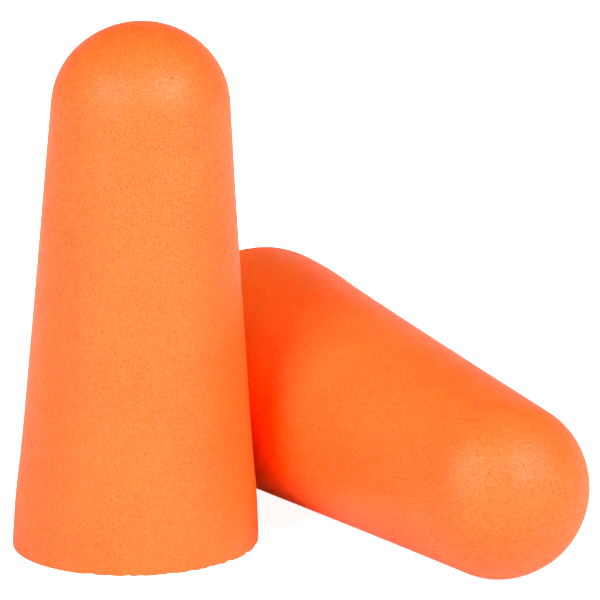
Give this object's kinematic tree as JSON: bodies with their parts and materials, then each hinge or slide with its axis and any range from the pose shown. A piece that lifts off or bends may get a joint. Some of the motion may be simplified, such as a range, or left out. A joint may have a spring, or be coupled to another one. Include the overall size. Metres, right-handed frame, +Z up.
{
  "type": "foam ear plugs",
  "caption": "Soft tapered foam ear plugs, each with a domed ear end and a flat cut base, shown standing and lying.",
  "frame": {"origin": "centre of the upright plug's cut base, on the surface that both plugs rest on", "axes": "+Z up; a viewer stands on the -Y side with +X to the right; the lying plug is at +X and +Y with its ear end towards the viewer"},
  "size_m": [0.028, 0.0258, 0.026],
  "materials": {
    "ear_plug_foam": "matte"
  },
  "bodies": {
    "upright_plug": {"upright_plug": "ear_plug_foam"},
    "lying_plug": {"lying_plug": "ear_plug_foam"}
  },
  "joints": [
    {"name": "lying_plug_lift", "type": "slide", "parent": "upright_plug", "child": "lying_plug", "axis": [0, 0, 1], "range_m": [0, 0.03]}
  ]
}
